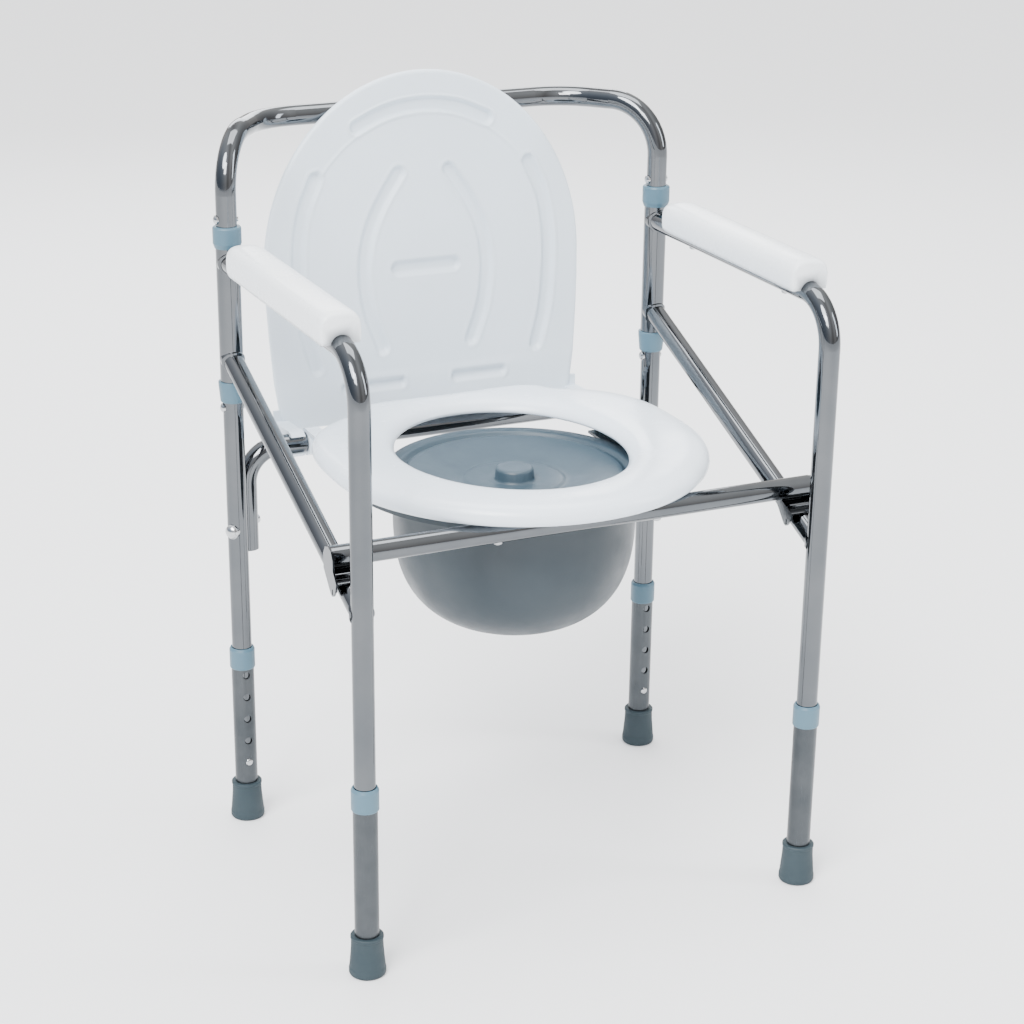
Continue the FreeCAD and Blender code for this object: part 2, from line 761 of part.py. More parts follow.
# Pail group.
def bowl_curve(inset):
    """Profile of the round-bottomed bowl, from the middle of its floor up to its full width."""
    points = []
    for i in range(bowl_steps + 1):
        angle = math.pi / 2 * i / bowl_steps
        reach = math.sin(angle) ** (2 / bowl_power)
        drop = max(0.0, math.cos(angle)) ** (2 / bowl_power)
        points.append(((bowl_r - inset) * reach, bowl_top_z - (bowl_depth - inset) * drop))
    points[0] = (0, points[0][1])
    return points


def pail():
    outside = bowl_curve(0) + [
        (pail_neck_r, bowl_top_z + 10),
        (pail_neck_r, pail_ledge_z + 0.3),
        (pail_rim_r, pail_ledge_z + 0.3),
        (pail_rim_r, pail_rim_z - 1),
        (pail_rim_r - 1, pail_rim_z),
        (pail_neck_r - pail_wall, pail_rim_z),
        (pail_neck_r - pail_wall, bowl_top_z + 10),
    ]
    inside = list(reversed(bowl_curve(pail_wall)))
    return turned(outside + inside, 0, pail_y)


def pail_lid():
    """Lid that laps over the pail's rim, with a shallow dished top and a round knob."""
    plug_r = pail_neck_r - pail_wall - 0.5
    rest_z = pail_rim_z + 0.3
    outline = [
        (0, 435.5),
        (plug_r - 3, 435.5),
        (plug_r, 437),
        (plug_r, rest_z),
        (pail_lid_r, rest_z),
        (pail_lid_r, 443.8),
        (pail_lid_r - 1.2, 445.2),
        (pail_lid_r - 3.5, 445.8),
        (124.5, 445.8),
        (122.5, 445),
        (120.5, 440.5),
        (117.5, 440.5),
        (115.5, 444.0),
        (113, 444.6),
        (48, 440.0),
        (44, 440.6),
        (24, 440.6),
        (21.2, 441),
        (20.2, 445.6),
        (18.6, 446.9),
        (10, 446.2),
        (0, 445.6),
    ]
    return turned(outline, 0, pail_y)


# Extension legs: facing is -1 where the holes look to the front, +1 to the rear.
def extension_tube(x, y, facing):
    tube = ring(sleeve_r, sleeve_bore_r, ext_low_z, ext_high_z, x, y)
    for i in range(hole_count):
        z = hole_first_z + i * hole_pitch
        tube = tube.cut(rod(hole_r, Vector(x, y, z), Vector(x, y + 20 * facing, z)))
    return tube


def extension_collar(x, y):
    outline = [
        (sleeve_r, collar_low_z),
        (collar_r - 0.6, collar_low_z),
        (collar_r, collar_low_z + 1),
        (collar_r, collar_high_z - 3),
        (collar_r - 1.2, collar_high_z - 0.6),
        (running_r + 0.8, collar_high_z),
        (running_r, collar_high_z - 0.6),
        (running_r, ext_high_z),
        (sleeve_r, ext_high_z),
    ]
    return turned(outline, x, y)


def rubber_tip(x, y):
    outline = [
        (0, 1.5),
        (8, 1.5),
        (8.6, 0),
        (16.5, 0),
        (18.4, 0.8),
        (19.25, 2.8),
        (19.25, 7),
        (18.6, 10),
        (16.9, 30),
        (16.5, tip_h - 4),
        (17.2, tip_h - 3.2),
        (17.2, tip_h - 1),
        (16.4, tip_h),
        (sleeve_r, tip_h),
        (sleeve_r, ext_low_z),
        (0, ext_low_z),
    ]
    return turned(outline, x, y)


def snap_button(x, y, facing):
    outline = [
        (0, 7.2),
        (5.4, 7.2),
        (5.4, 8.1),
        (button_r, 8.1),
        (button_r, 12.4),
        (button_r - 0.5, 13.1),
        (button_r - 1.6, 13.55),
        (0, 13.8),
    ]
    knob = turned(outline, 0, 0)
    knob.rotate(Vector(0, 0, 0), Vector(1, 0, 0), -90 * facing)
    knob.translate(Vector(x, y, hole_first_z))
    return knob


def button_spring(x, y, facing):
    sheet = 0.8
    front = 6.2
    back = -9.2
    top = hole_first_z + 34
    middle = (front + back + sheet) / 2
    bend = (front + sheet - back) / 2
    pieces = [
        block(-3.5, 3.5, front, front + sheet, hole_first_z - 10, top),
        block(-3.5, 3.5, back, back + sheet, hole_first_z - 12, top),
    ]
    loop = rod(bend, Vector(-3.5, middle, top), Vector(3.5, middle, top))
    loop = loop.cut(rod(bend - sheet, Vector(-5, middle, top), Vector(5, middle, top)))
    loop = loop.common(block(-5, 5, -20, 20, top, top + 20))
    strip = fuse(pieces + [loop])
    if facing < 0:
        strip.rotate(Vector(0, 0, 0), Vector(0, 0, 1), 180)
    strip.translate(Vector(x, y, 0))
    return strip


def save_pair(name, shape):
    save("left_" + name, shape)
    save("right_" + name, mirrored(shape))


save("rear_frame", rear_frame())
save("seat_crossbar", seat_crossbar())
save("crossbar_bolts", Part.makeCompound([crossbar_bolt(-1), crossbar_bolt(1)]))
save("crossbar_nuts", Part.makeCompound([crossbar_nut(-1), crossbar_nut(1)]))
save("stop_rivets", stop_rivets())

save_pair("sleeve", side_sleeve())
save_pair("upper_bush", upper_bush())
save_pair("lower_bush", lower_bush())
save_pair("arm_tube", arm_tube())
save_pair("brace", brace())
save_pair("armrest_pad", armrest_pad())
save_pair("pad_screws", pad_screws())

save("front_bar", front_bar())
save_pair("saddle", saddle())
save("seat_ring", seat_ring())
save("seat_screws", seat_screws())
save_pair("seat_clamp", seat_clamp())
save("clamp_screws", clamp_screws())
save_pair("pail_rail", pail_rail())
save("rail_screws", rail_screws())

save("lid", lid())
save_pair("lid_arm", opened(lid_arm()))
save("lid_arm_screws", lid_arm_screws())

save("pail", pail())
save("pail_lid", pail_lid())

for side_name, side in (("left", -1), ("right", 1)):
    for end_name, y, facing in (("front", -leg_y, 1), ("rear", leg_y, -1)):
        corner = side_name + "_" + end_name
        x = side * leg_x
        save(corner + "_extension", extension_tube(x, y, facing))
        save(corner + "_collar", extension_collar(x, y))
        save(corner + "_tip", rubber_tip(x, y))
        save(corner + "_button", snap_button(x, y, facing))
        save(corner + "_spring", button_spring(x, y, facing))
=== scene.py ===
import bpy
import bmesh
import json
import math
from mathutils import Matrix, Vector


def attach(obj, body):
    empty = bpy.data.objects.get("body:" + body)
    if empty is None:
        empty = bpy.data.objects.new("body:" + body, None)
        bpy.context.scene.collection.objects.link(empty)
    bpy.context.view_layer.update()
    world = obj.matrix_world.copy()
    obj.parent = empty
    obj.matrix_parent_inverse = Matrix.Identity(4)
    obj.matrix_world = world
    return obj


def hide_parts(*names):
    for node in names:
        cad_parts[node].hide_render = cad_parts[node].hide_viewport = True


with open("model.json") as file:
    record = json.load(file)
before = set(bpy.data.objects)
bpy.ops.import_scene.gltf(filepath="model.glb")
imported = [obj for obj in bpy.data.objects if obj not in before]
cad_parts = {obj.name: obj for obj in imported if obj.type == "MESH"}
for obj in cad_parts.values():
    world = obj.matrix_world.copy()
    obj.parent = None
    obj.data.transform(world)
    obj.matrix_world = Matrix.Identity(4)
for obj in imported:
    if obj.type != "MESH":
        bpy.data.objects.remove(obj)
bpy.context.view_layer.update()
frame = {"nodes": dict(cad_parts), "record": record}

MM = 0.001
nodes = frame["nodes"]
SIDES = ("left", "right")


# ---- materials -------------------------------------------------------------

def new_material(name):
    """A material with its shader and the object's own coordinates ready to use."""
    material = bpy.data.materials.new(name)
    material.use_nodes = True
    tree = material.node_tree
    shader = tree.nodes["Principled BSDF"]
    place = tree.nodes.new("ShaderNodeTexCoord")
    return material, tree, shader, place.outputs["Object"]


def stretched(tree, source, scale):
    mapping = tree.nodes.new("ShaderNodeMapping")
    mapping.inputs["Scale"].default_value = scale
    tree.links.new(source, mapping.inputs["Vector"])
    return mapping.outputs["Vector"]


def noise(tree, source, scale, detail=3.0, rough=0.55):
    texture = tree.nodes.new("ShaderNodeTexNoise")
    texture.inputs["Scale"].default_value = scale
    texture.inputs["Detail"].default_value = detail
    texture.inputs["Roughness"].default_value = rough
    tree.links.new(source, texture.inputs["Vector"])
    return texture.outputs["Fac"]


def ramp(tree, factor, low, high, start=0.3, end=0.7):
    """Colour or grey that runs from low to high as factor goes from start to end."""
    node = tree.nodes.new("ShaderNodeValToRGB")
    first, last = node.color_ramp.elements
    first.position = start
    last.position = end
    first.color = tuple(low) + (1.0,)
    last.color = tuple(high) + (1.0,)
    tree.links.new(factor, node.inputs["Fac"])
    return node.outputs["Color"]


def bump(tree, shader, height, strength, distance):
    node = tree.nodes.new("ShaderNodeBump")
    node.inputs["Strength"].default_value = strength
    node.inputs["Distance"].default_value = distance
    tree.links.new(height, node.inputs["Height"])
    tree.links.new(node.outputs["Normal"], shader.inputs["Normal"])


def grey(value):
    return (value, value, value)


def chrome():
    """Bright plate with faint polishing haze and a few duller patches."""
    material, tree, shader, place = new_material("chrome")
    shader.inputs["Metallic"].default_value = 1.0
    haze = noise(tree, place, 9.0, 4.0)
    base = ramp(tree, haze, (0.10, 0.108, 0.117), (0.135, 0.142, 0.15))
    tree.links.new(base, shader.inputs["Base Color"])
    smudge = noise(tree, place, 38.0, 5.0)
    dull = ramp(tree, smudge, grey(0.06), grey(0.14), 0.45, 0.8)
    tree.links.new(dull, shader.inputs["Roughness"])
    ripple = noise(tree, place, 60.0, 2.0)
    bump(tree, shader, ripple, 0.05, 0.0006)
    return material


def drawn_metal(name, low, high, rough_low, rough_high, along=(1, 1, 0.04)):
    """Satin metal with a drawn grain."""
    material, tree, shader, place = new_material(name)
    shader.inputs["Metallic"].default_value = 1.0
    grain = noise(tree, stretched(tree, place, along), 900.0, 3.0)
    cloud = noise(tree, place, 22.0, 3.0)
    base = ramp(tree, cloud, low, high)
    tree.links.new(base, shader.inputs["Base Color"])
    dull = ramp(tree, grain, grey(rough_low), grey(rough_high))
    tree.links.new(dull, shader.inputs["Roughness"])
    bump(tree, shader, grain, 0.12, 0.0004)
    return material


def moulded(name, low, high, rough_low, rough_high, grain=420.0, depth=0.10):
    """Moulded plastic or rubber: slight colour drift and a fine skin texture."""
    material, tree, shader, place = new_material(name)
    drift = noise(tree, place, 5.0, 4.0)
    base = ramp(tree, drift, low, high, 0.35, 0.65)
    tree.links.new(base, shader.inputs["Base Color"])
    skin = noise(tree, place, grain, 2.0)
    wear = noise(tree, place, 30.0, 5.0)
    dull = ramp(tree, wear, grey(rough_low), grey(rough_high), 0.35, 0.7)
    tree.links.new(dull, shader.inputs["Roughness"])
    bump(tree, shader, skin, depth, 0.0004)
    return material


def build_materials():
    return {
        "chrome": chrome(),
        "satin_steel": drawn_metal("satin_steel", (0.062, 0.069, 0.075), (0.085, 0.092, 0.098), 0.26, 0.38),
        "bush_grey": moulded("bush_grey", (0.058, 0.125, 0.172), (0.074, 0.146, 0.196), 0.38, 0.5),
        "pad_white": moulded("pad_white", (0.84, 0.89, 0.93), (0.88, 0.92, 0.95), 0.22, 0.32),
        "seat_white": moulded("seat_white", (0.76, 0.84, 0.93), (0.80, 0.88, 0.96), 0.20, 0.30),
        "lid_white": moulded("lid_white", (0.68, 0.77, 0.85), (0.72, 0.81, 0.89), 0.36, 0.48),
        "pail_blue": moulded("pail_blue", (0.011, 0.022, 0.031), (0.016, 0.029, 0.039), 0.36, 0.5),
        "pail_lid_blue": moulded("pail_lid_blue", (0.028, 0.052, 0.072), (0.038, 0.064, 0.086), 0.36, 0.48),
        "tip_rubber": moulded("tip_rubber", (0.012, 0.026, 0.034), (0.018, 0.034, 0.043), 0.6, 0.75,
                              grain=260.0, depth=0.25),
        "bright_fixings": drawn_metal("bright_fixings", (0.42, 0.43, 0.44), (0.55, 0.56, 0.57), 0.10, 0.18),
        "zinc_fixings": drawn_metal("zinc_fixings", (0.40, 0.41, 0.42), (0.52, 0.53, 0.54), 0.28, 0.42),
        "spring_steel": drawn_metal("spring_steel", (0.20, 0.20, 0.21), (0.30, 0.30, 0.31), 0.35, 0.5),
    }


def paint_cad(materials):
    """Give every CAD part the material of its slot."""
    for part in frame["record"]["subparts"]:
        mesh = nodes[part["node"]].data
        mesh.materials.clear()
        mesh.materials.append(materials[part["material_slot"]])


# ---- shapes shared by the pieces -------------------------------------------
# Sizes are in drawing millimetres; the drawing's own middle lies MIDDLE_Y in front of the frame's.

MIDDLE_Y = 45.1
WELD_DISTANCE = 0.00001


def row_point(x, y, z):
    """Drawing millimetres to the frame's metres."""
    return Vector((x * MM, (y - MIDDLE_Y) * MM, z * MM))


def make_piece(name, points, faces, body, slot, node, materials):
    """A smooth piece that rides on a body and stands for one CAD node."""
    mesh = bpy.data.meshes.new(name)
    mesh.from_pydata([tuple(p) for p in points], [], faces)
    mesh.update()
    work = bmesh.new()
    work.from_mesh(mesh)
    bmesh.ops.remove_doubles(work, verts=work.verts, dist=WELD_DISTANCE)
    bmesh.ops.recalc_face_normals(work, faces=work.faces)
    work.to_mesh(mesh)
    work.free()
    for face in mesh.polygons:
        face.use_smooth = True
    piece = bpy.data.objects.new(name, mesh)
    bpy.context.scene.collection.objects.link(piece)
    mesh.materials.append(materials[slot])
    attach(piece, body)
    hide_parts(node)


def bridge(faces, first, second, count):
    """Quads between two rings of points that start at these indexes."""
    for k in range(count):
        on = (k + 1) % count
        faces.append((first + k, first + on, second + on, second + k))


def lathe(name, outline, x, y, body, slot, node, materials, steps=144):
    """A piece turned about the upright line through x and y."""
    points = []
    faces = []
    for r, z in outline:
        for k in range(steps):
            angle = 2 * math.pi * k / steps
            points.append(row_point(x + r * math.cos(angle), y + r * math.sin(angle), z))
    for i in range(len(outline) - 1):
        bridge(faces, i * steps, (i + 1) * steps, steps)
    make_piece(name, points, faces, body, slot, node, materials)


# ---- seat ------------------------------------------------------------------

SEAT_STEPS = 288
SEAT_CENTRE_Y = 12.0
SEAT_HALF = 204.5
SEAT_FRONT_Y = -196.0
SEAT_REAR_Y = 183.0
SEAT_SQUARENESS = 3.2
SHELF_HALF = 122.0
SHELF_REAR_Y = 203.0
SHELF_SQUARENESS = 9.0
SHELF_BLEND = 22.0
MOST_OF_SECTION = 0.48
OPENING_HALF = 120.0
OPENING_X = -5.0
OPENING_FRONT_Y = -130.0
OPENING_REAR_Y = 155.0
# Distance in from the outer edge, and height, round the outside of the seat's section.
SEAT_OUTER = [
    (15, 453), (8, 453.6), (3.5, 455.6), (0.8, 459), (0, 463), (0.9, 467), (3.5, 471), (8, 474.4),
    (14, 476.4), (22, 477.5), (32, 478.0),
]
# Distance out from the edge of the opening, and height, round its inside.
SEAT_INNER = [
    (32, 478.0), (24, 477.8), (16, 477.0), (10, 475.3), (5.5, 472.5), (2.2, 469.0), (0.5, 466.2), (0, 464.4),
    (1.2, 462.6), (6, 461.2), (16, 459.0),
]


def rounded_box_radius(ax, ay, half, reach, power):
    """Distance to a rounded box in the direction ax, ay: the higher the power, the squarer."""
    return (abs(ax / half) ** power + abs(ay / reach) ** power) ** (-1 / power)


def seat_radius(angle):
    """Distance from the seat's middle to its outer edge in this direction."""
    ax = math.cos(angle)
    ay = math.sin(angle)
    if ay < 0:
        reach = SEAT_CENTRE_Y - SEAT_FRONT_Y
        return 1 / math.hypot(ax / SEAT_HALF, ay / reach)
    body = rounded_box_radius(ax, ay, SEAT_HALF, SEAT_REAR_Y - SEAT_CENTRE_Y, SEAT_SQUARENESS)
    shelf = rounded_box_radius(ax, ay, SHELF_HALF, SHELF_REAR_Y - SEAT_CENTRE_Y, SHELF_SQUARENESS)
    return (body ** SHELF_BLEND + shelf ** SHELF_BLEND) ** (1 / SHELF_BLEND)


def opening_point(angle):
    """Point of the opening's edge in this direction."""
    centre = (OPENING_FRONT_Y + OPENING_REAR_Y) / 2
    reach = (OPENING_REAR_Y - OPENING_FRONT_Y) / 2
    return Vector((OPENING_X + OPENING_HALF * math.cos(angle), centre + reach * math.sin(angle)))


def add_seat(materials):
    """Ring seat: one rounded section carried round between the outer edge and the opening."""
    outer = []
    inner = []
    for k in range(SEAT_STEPS):
        angle = 2 * math.pi * k / SEAT_STEPS
        far = seat_radius(angle)
        outer.append(Vector((far * math.cos(angle), SEAT_CENTRE_Y + far * math.sin(angle))))
        inner.append(opening_point(angle))
    points = []
    faces = []
    section = [(inset, z, True) for inset, z in SEAT_OUTER]
    section += [(inset, z, False) for inset, z in SEAT_INNER]
    for inset, z, from_outer in section:
        for k in range(SEAT_STEPS):
            across = inner[k] - outer[k]
            width = across.length
            along = across / width
            step = min(inset, MOST_OF_SECTION * width)
            place = outer[k] + along * step if from_outer else inner[k] - along * step
            points.append(row_point(place.x, place.y, z))
    rings = len(section)
    for i in range(rings):
        bridge(faces, i * SEAT_STEPS, ((i + 1) % rings) * SEAT_STEPS, SEAT_STEPS)
    make_piece("seat_moulding", points, faces, "seat", "seat_white", "seat_ring", materials)


# ---- lid -------------------------------------------------------------------

HINGE_Y = 205.3
HINGE_Z = 437.0
LID_OPEN = math.radians(93.2)
LID_FRONT_FACE = 43.0
LID_START = 2.0
LID_END = 387.5
LID_ARC_START = 178.0
LID_HALF = 188.6
LID_ROWS = 190
LID_COLUMNS = 170
LID_MIDDLE = 170.0
LID_FLAT_INSET = 3.5
LID_TIP_HALF = 0.4
HINGE_ZONE = 54.0
HINGE_ZONE_RISE = 0.7
LONG_GROOVES = 6
SHORT_GROOVE_HALF = 6.0
# Inset and height of the lid's edge, from its front face round to its back.
LID_RIM = [(1.6, 43.3), (0.5, 44.1), (0, 45.4), (0, 49.5), (0.7, 51.6), (2.2, 52.9), (4.4, 53.5)]
# Distance from the hinge and half the width, up the lid's straight sides.
LID_SIDE = [(2, 170), (5, 174), (16, 177.5), (55, 183), (105, 186.4), (145, 188.2), (178, 188.6)]
GROOVE_HALF = 7.6
GROOVE_DEPTH = 4.6
GROOVE_SLOPE = 2.8
GROOVE_SLOPE_INSIDE = 2.6
BEAD_OUTSIDE = 2.2
BEAD_HALF = 1.6
BEAD_RISE = 1.3
LINE_HALF = 2.0
HINGE_ZONE_SLOPE = 3.0
# Grooves moulded in the face of the lid: centre-lines as x and distance from the hinge.
LID_GROOVES = [
    [(-77, 331), (-42, 347), (0, 352), (42, 347), (77, 331)],
    [(-127, 279), (-144, 244), (-151, 205), (-151, 160), (-146, 110), (-134, 69)],
    [(127, 279), (144, 244), (151, 205), (151, 160), (146, 110), (134, 69)],
    [(-30, 278), (-54, 244), (-70, 208), (-75, 170), (-70, 125), (-54, 84)],
    [(30, 278), (54, 244), (70, 208), (75, 170), (70, 125), (54, 84)],
    [(-34, 172), (34, 172)],
    [(-100, 43), (-34, 43)],
    [(34, 43), (90, 43)],
]
LID_BORDER = [
    (-140, 240), (-128, 271), (-106, 300), (-72, 326), (-36, 340), (0, 344), (36, 340), (72, 326),
    (106, 300), (128, 271), (140, 240),
]
LID_RIDGE = [(-165, HINGE_ZONE), (165, HINGE_ZONE)]


def lid_half_width(reach):
    """Half the lid's width at this distance from the hinge."""
    if reach >= LID_ARC_START:
        part = (reach - LID_ARC_START) / (LID_END - LID_ARC_START)
        return LID_HALF * math.sqrt(max(0.0, 1 - part * part))
    for (low, narrow), (high, wide) in zip(LID_SIDE, LID_SIDE[1:]):
        if reach <= high:
            return narrow + (wide - narrow) * max(0.0, reach - low) / (high - low)
    return LID_HALF


def distance_to_line(x, u, line):
    """Distance from a point of the lid to the nearest part of a line."""
    best = 1e9
    for (x0, u0), (x1, u1) in zip(line, line[1:]):
        dx = x1 - x0
        du = u1 - u0
        part = ((x - x0) * dx + (u - u0) * du) / (dx * dx + du * du)
        part = min(1.0, max(0.0, part))
        best = min(best, math.hypot(x - x0 - part * dx, u - u0 - part * du))
    return best


def smooth_step(value):
    value = min(1.0, max(0.0, value))
    return value * value * (3 - 2 * value)


def smoothed(line, rounds=3):
    """The same line with its corners cut, so that it bends evenly."""
    for _ in range(rounds):
        finer = [line[0]]
        for (x0, u0), (x1, u1) in zip(line, line[1:]):
            finer.append((0.75 * x0 + 0.25 * x1, 0.75 * u0 + 0.25 * u1))
            finer.append((0.25 * x0 + 0.75 * x1, 0.25 * u0 + 0.75 * u1))
        finer.append(line[-1])
        line = finer
    return line


def lid_relief(x, u, grooves, border):
    """Depth of the face behind its flat: positive in a groove, negative on a bead."""
    depth = 0.0
    for i, line in enumerate(grooves):
        half = GROOVE_HALF if i < LONG_GROOVES else SHORT_GROOVE_HALF
        away = distance_to_line(x, u, line)
        depth += GROOVE_DEPTH * (1 - smooth_step((away - half + GROOVE_SLOPE_INSIDE) / GROOVE_SLOPE))
        depth -= BEAD_RISE * (1 - smooth_step(abs(away - half - BEAD_OUTSIDE) / BEAD_HALF))
    depth -= BEAD_RISE * (1 - smooth_step(distance_to_line(x, u, border) / LINE_HALF))
    depth -= BEAD_RISE * (1 - smooth_step(distance_to_line(x, u, LID_RIDGE) / LINE_HALF))
    if u < HINGE_ZONE:
        depth -= HINGE_ZONE_RISE * smooth_step((HINGE_ZONE - u) / HINGE_ZONE_SLOPE)
    return depth


def lid_place(x, reach, height):
    """Point of the open lid: reach along it from the hinge, height off the hinge's plane."""
    y = -reach * math.cos(LID_OPEN) + height * math.sin(LID_OPEN)
    z = reach * math.sin(LID_OPEN) + height * math.cos(LID_OPEN)
    return row_point(x, HINGE_Y + y, HINGE_Z + z)


def shrunk(x, reach, inset):
    """The same place of the lid, drawn in towards its middle."""
    shrink = 1 - inset / LID_HALF
    return x * shrink, LID_MIDDLE + (reach - LID_MIDDLE) * shrink


def lid_outline_grid():
    """Places over the whole lid, row by row from the hinge to its tip."""
    grid = []
    for i in range(LID_ROWS):
        part = i / (LID_ROWS - 1)
        reach = LID_START + (LID_END - LID_START) * math.sin(part * math.pi / 2)
        half = max(lid_half_width(reach), LID_TIP_HALF)
        for j in range(LID_COLUMNS):
            grid.append((half * (2 * j / (LID_COLUMNS - 1) - 1), reach))
    return grid


def grid_edge():
    """Indexes of the grid's border, once round."""
    last_row = (LID_ROWS - 1) * LID_COLUMNS
    edge = list(range(LID_COLUMNS))
    edge += [i * LID_COLUMNS + LID_COLUMNS - 1 for i in range(1, LID_ROWS)]
    edge += [last_row + j for j in range(LID_COLUMNS - 2, -1, -1)]
    edge += [i * LID_COLUMNS for i in range(LID_ROWS - 2, 0, -1)]
    return edge


def back_faces(start, count):
    """Strips that close the lid's flat back, between the two sides of its last edge ring."""
    rise = LID_ROWS - 1
    left = [start] + [start + count - i for i in range(1, LID_ROWS)]
    right = [start + LID_COLUMNS - 1 + i for i in range(LID_ROWS)]
    strips = [(left[i], left[i + 1], right[i + 1], right[i]) for i in range(1, rise)]
    strips.append([start + j for j in range(LID_COLUMNS)] + [right[1], left[1]])
    strips.append([right[rise] + j for j in range(LID_COLUMNS - 1)] + [left[rise]])
    return strips


def add_lid(materials):
    """Lid with moulded grooves in the face that meets the seat."""
    grooves = [smoothed(line) if len(line) > 2 else line for line in LID_GROOVES]
    border = smoothed(LID_BORDER)
    grid = lid_outline_grid()
    points = []
    faces = []
    for x, reach in grid:
        x, reach = shrunk(x, reach, LID_FLAT_INSET)
        height = LID_FRONT_FACE + lid_relief(x, reach, grooves, border)
        points.append(lid_place(x, reach, height))
    for i in range(LID_ROWS - 1):
        for j in range(LID_COLUMNS - 1):
            a = i * LID_COLUMNS + j
            faces.append((a, a + 1, a + LID_COLUMNS + 1, a + LID_COLUMNS))
    edge = grid_edge()
    count = len(edge)
    previous = None
    for inset, height in LID_RIM:
        start = len(points)
        for index in edge:
            x, reach = shrunk(*grid[index], inset)
            points.append(lid_place(x, reach, height))
        if previous is None:
            for k in range(count):
                on = (k + 1) % count
                faces.append((edge[k], edge[on], start + on, start + k))
        else:
            bridge(faces, previous, start, count)
        previous = start
    faces += back_faces(previous, count)
    make_piece("lid_moulding", points, faces, "lid", "lid_white", "lid", materials)


# ---- armrests --------------------------------------------------------------

PAD_X = 252.5
PAD_HALF = 21.5
PAD_FRONT_Y = -148.0
PAD_REAR_Y = 148.0
PAD_LOW_Z = 653.0
PAD_TOP_Z = 684.0
PAD_WIDEST_Z = 664.0
PAD_FOOT_Z = 657.0
PAD_NOSE = 9.0
PAD_TAIL = 30.0
PAD_TAIL_DROP = 9.0
PAD_TAIL_SIZE = 0.28
PAD_CROWN_STEPS = 24
PAD_GROOVE_STEPS = 12
TUBE_R = 11.1
TUBE_GAP = 0.2
ARM_Z = 651.0


def pad_section(size, drop):
    """Section of the armrest at one place along it, round the outside and then the tube's groove."""
    half = PAD_HALF * size
    top = PAD_TOP_Z - drop
    section = []
    for k in range(PAD_CROWN_STEPS + 1):
        angle = math.pi * (1 - k / PAD_CROWN_STEPS)
        side = math.copysign(abs(math.cos(angle)) ** 0.62, math.cos(angle))
        rise = (top - PAD_WIDEST_Z) * math.sin(angle) ** 0.75
        section.append((half * side, PAD_WIDEST_Z + rise))
    section.append((half * 0.99, PAD_FOOT_Z))
    section.append((half * 0.94, PAD_LOW_Z))
    groove = min(TUBE_R + TUBE_GAP, half * 0.8)
    for k in range(PAD_GROOVE_STEPS + 1):
        angle = math.radians(12) + math.radians(156) * k / PAD_GROOVE_STEPS
        section.append((groove * math.cos(angle), ARM_Z + groove * math.sin(angle)))
    section.append((-half * 0.94, PAD_LOW_Z))
    section.append((-half * 0.99, PAD_FOOT_Z))
    return section


def pad_stations():
    """Places along the armrest, each with the size of its section and the drop of its top."""
    nose = [(0, 0.86, 4.5), (0.8, 0.92, 2.6), (2.2, 0.965, 1.2), (5, 0.99, 0.4), (PAD_NOSE, 1.0, 0.0)]
    stations = [(PAD_FRONT_Y + y, size, drop) for y, size, drop in nose]
    straight = PAD_REAR_Y - PAD_TAIL - PAD_FRONT_Y - PAD_NOSE
    for k in range(1, 12):
        stations.append((PAD_FRONT_Y + PAD_NOSE + straight * k / 11, 1.0, 0.0))
    for k in range(1, 11):
        angle = math.pi / 2 * k / 11
        place = PAD_REAR_Y - PAD_TAIL + PAD_TAIL * math.sin(angle)
        size = PAD_TAIL_SIZE + (1 - PAD_TAIL_SIZE) * math.cos(angle) ** 0.6
        stations.append((place, size, PAD_TAIL_DROP * (1 - math.cos(angle))))
    return stations


def add_pad(side, materials):
    """Armrest with a square nose, a rounded tail and a groove for the tube."""
    sign = -1 if side == "left" else 1
    stations = pad_stations()
    points = []
    faces = []
    count = len(pad_section(1, 0))
    for y, size, drop in stations:
        for x, z in pad_section(size, drop):
            points.append(row_point(sign * PAD_X + x, y, z))
    for i in range(len(stations) - 1):
        bridge(faces, i * count, (i + 1) * count, count)
    last = (len(stations) - 1) * count
    faces.append(list(range(count)))
    faces.append([last + k for k in range(count)])
    make_piece(side + "_pad_moulding", points, faces, side + "_side", "pad_white",
               side + "_armrest_pad", materials)


# ---- pail ------------------------------------------------------------------

PAIL_Y = 13.0
BOWL_R = 130.0
BOWL_DEPTH = 130.5
BOWL_TOP_Z = 403.5
BOWL_POWER = 2.75
PAIL_WALL = 2.6
NECK_R = 131.0
NECK_Z = 413.5
RIM_R = 143.0
RIM_Z = 441.0
LEDGE_Z = 437.3
BOWL_STEPS = 40


def bowl(inset):
    """Profile of the round-bottomed bowl, from the middle of its floor up."""
    points = []
    for i in range(BOWL_STEPS + 1):
        angle = math.pi / 2 * i / BOWL_STEPS
        reach = max(0.0, math.sin(angle)) ** (2 / BOWL_POWER)
        drop = max(0.0, math.cos(angle)) ** (2 / BOWL_POWER)
        points.append(((BOWL_R - inset) * reach, BOWL_TOP_Z - (BOWL_DEPTH - inset) * drop))
    points[0] = (0.0, points[0][1])
    return points


def add_pail(materials):
    """Open bowl with a straight neck and a flat rim that hangs on the carriers."""
    inner = NECK_R - PAIL_WALL
    outline = bowl(0) + [
        (NECK_R, NECK_Z), (NECK_R, LEDGE_Z), (RIM_R, LEDGE_Z), (RIM_R, RIM_Z - 1),
        (RIM_R - 1, RIM_Z), (inner, RIM_Z), (inner, NECK_Z),
    ] + list(reversed(bowl(PAIL_WALL)))
    lathe("pail_moulding", outline, 0, PAIL_Y, "pail", "pail_blue", "pail", materials)


